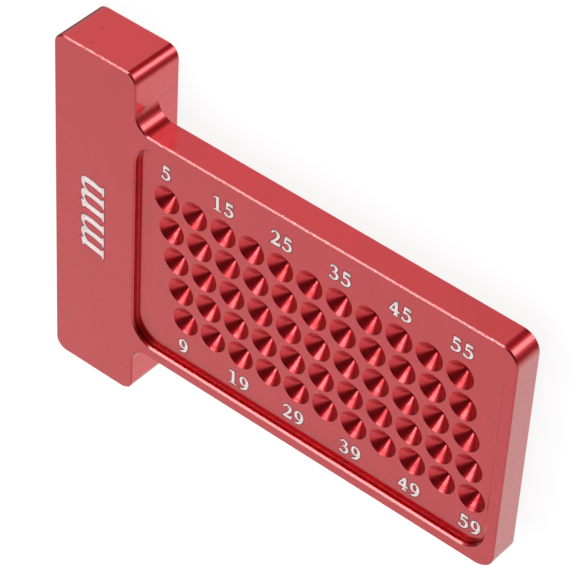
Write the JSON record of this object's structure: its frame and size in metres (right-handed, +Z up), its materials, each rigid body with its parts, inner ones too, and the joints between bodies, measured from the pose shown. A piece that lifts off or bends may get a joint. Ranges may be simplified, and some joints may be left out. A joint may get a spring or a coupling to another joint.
{
  "type": "woodworking ruler",
  "caption": "T-shaped marking-out ruler: a blade with a sunken, skewed grid of conical pencil holes, and a head that hooks over a board's edge as a fence.",
  "frame": {"origin": "on the zero line, where the fence face meets the blade's underside, at mid width", "axes": "+X out along the blade from the fence face, +Z up out of the scale face, +Y across the blade towards the first row of pencil holes"},
  "size_m": [0.0788, 0.058, 0.0088],
  "materials": {
    "red_anodised": "satin red anodising over fine milling marks",
    "white_marking": "matt white marking in the anodised face"
  },
  "bodies": {
    "root": {"ruler_body": "red_anodised"}
  },
  "joints": []
}
